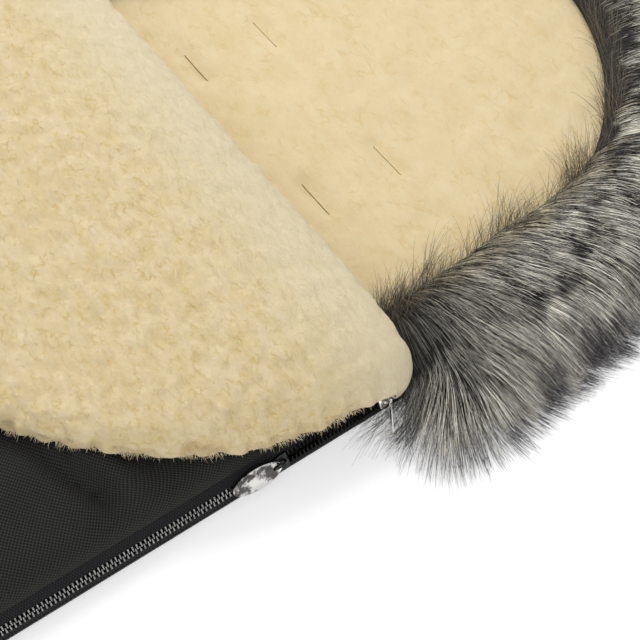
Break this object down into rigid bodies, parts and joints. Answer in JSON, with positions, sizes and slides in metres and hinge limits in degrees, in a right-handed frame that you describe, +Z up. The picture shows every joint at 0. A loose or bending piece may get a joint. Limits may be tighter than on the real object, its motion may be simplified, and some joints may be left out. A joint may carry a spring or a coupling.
{
  "type": "stroller footmuff",
  "caption": "Lined stroller footmuff lying flat, its cover folded back, with side zips, oval pullers, harness slots and a fur-trimmed hood.",
  "frame": {"origin": "centre of the bounding box in plan, on the surface that the back panel rests on", "axes": "+Y towards the head end, +X towards the side whose zip the picture shows, +Z up"},
  "size_m": [0.588, 0.993, 0.0879],
  "materials": {
    "nylon": "fine woven, matt charcoal black",
    "wadding": "soft polyester wadding, hidden",
    "wool": "cream curled wool pile",
    "fur": "long grey pile with dark roots and pale streaks",
    "tape": "black woven tape",
    "zip_metal": "silver plated, worn bright",
    "chrome": "polished chrome"
  },
  "bodies": {
    "muff": {"back_shell": "nylon", "back_padding": "wadding", "back_lining": "wool", "harness_slot_binding_1": "tape", "harness_slot_binding_2": "tape", "harness_slot_binding_3": "tape", "harness_slot_binding_4": "tape", "harness_slot_binding_5": "tape", "cover_shell": "nylon", "cover_padding": "wadding", "cover_lining": "wool", "foot_gusset": "nylon", "fold_padding": "wadding", "fold_lining": "wool", "fur_trim": "fur", "fur_base_strip": "tape", "zip_teeth_back_right": "zip_metal", "zip_teeth_cover_right": "zip_metal", "zip_teeth_back_left": "zip_metal", "zip_teeth_cover_left": "zip_metal", "zip_tape_back_right": "tape", "zip_tape_cover_right": "tape", "zip_tape_back_left": "tape", "zip_tape_cover_left": "tape", "zip_top_stop_right": "zip_metal", "zip_top_stop_left": "zip_metal", "zip_bottom_stop_right": "zip_metal", "zip_bottom_stop_left": "zip_metal"},
    "flap": {"flap_shell": "nylon", "flap_padding": "wadding", "flap_lining": "wool"},
    "main_slider_R": {"main_slider_right": "zip_metal"},
    "main_slider_L": {"main_slider_left": "zip_metal"},
    "upper_slider_R": {"upper_slider_right": "zip_metal"},
    "upper_slider_L": {"upper_slider_left": "zip_metal"},
    "oval_puller_R": {"oval_puller_right": "chrome"},
    "oval_puller_L": {"oval_puller_left": "chrome"},
    "pull_tab_R": {"pull_tab_right": "zip_metal"},
    "pull_tab_L": {"pull_tab_left": "zip_metal"}
  },
  "joints": [
    {"name": "flap_fold", "type": "hinge", "parent": "muff", "child": "flap", "pos_m": [0, 0.0735, 0.0583], "axis": [-1, 0, 0], "range_deg": [0, 165], "deforming": ["fold_padding", "fold_lining"]},
    {"name": "main_slider_right_travel", "type": "slide", "parent": "muff", "child": "main_slider_R", "axis": [0, -1, 0], "range_m": [0, 0.375], "deforming": ["zip_teeth_back_right", "zip_teeth_cover_right"]},
    {"name": "main_slider_left_travel", "type": "slide", "parent": "muff", "child": "main_slider_L", "axis": [0, -1, 0], "range_m": [0, 0.375], "deforming": ["zip_teeth_back_left", "zip_teeth_cover_left"]},
    {"name": "upper_slider_right_travel", "type": "slide", "parent": "muff", "child": "upper_slider_R", "axis": [0, -1, 0], "range_m": [0, 0.03], "deforming": ["zip_teeth_back_right", "zip_teeth_cover_right"]},
    {"name": "upper_slider_left_travel", "type": "slide", "parent": "muff", "child": "upper_slider_L", "axis": [0, -1, 0], "range_m": [0, 0.03], "deforming": ["zip_teeth_back_left", "zip_teeth_cover_left"]},
    {"name": "oval_puller_right_hinge", "type": "hinge", "parent": "main_slider_R", "child": "oval_puller_R", "pos_m": [0.23601, -0.0065, 0.01727], "axis": [-0.5, 0, 0.866], "range_deg": [0, 165]},
    {"name": "oval_puller_left_hinge", "type": "hinge", "parent": "main_slider_L", "child": "oval_puller_L", "pos_m": [-0.23601, -0.0065, 0.01727], "axis": [-0.5, 0, -0.866], "range_deg": [0, 165]},
    {"name": "pull_tab_right_hinge", "type": "hinge", "parent": "upper_slider_R", "child": "pull_tab_R", "pos_m": [0.23748, 0.075, 0.01812], "axis": [0, 1, 0], "range_deg": [-70, 40]},
    {"name": "pull_tab_left_hinge", "type": "hinge", "parent": "upper_slider_L", "child": "pull_tab_L", "pos_m": [-0.23748, 0.075, 0.01812], "axis": [0, -1, 0], "range_deg": [-70, 40]}
  ]
}
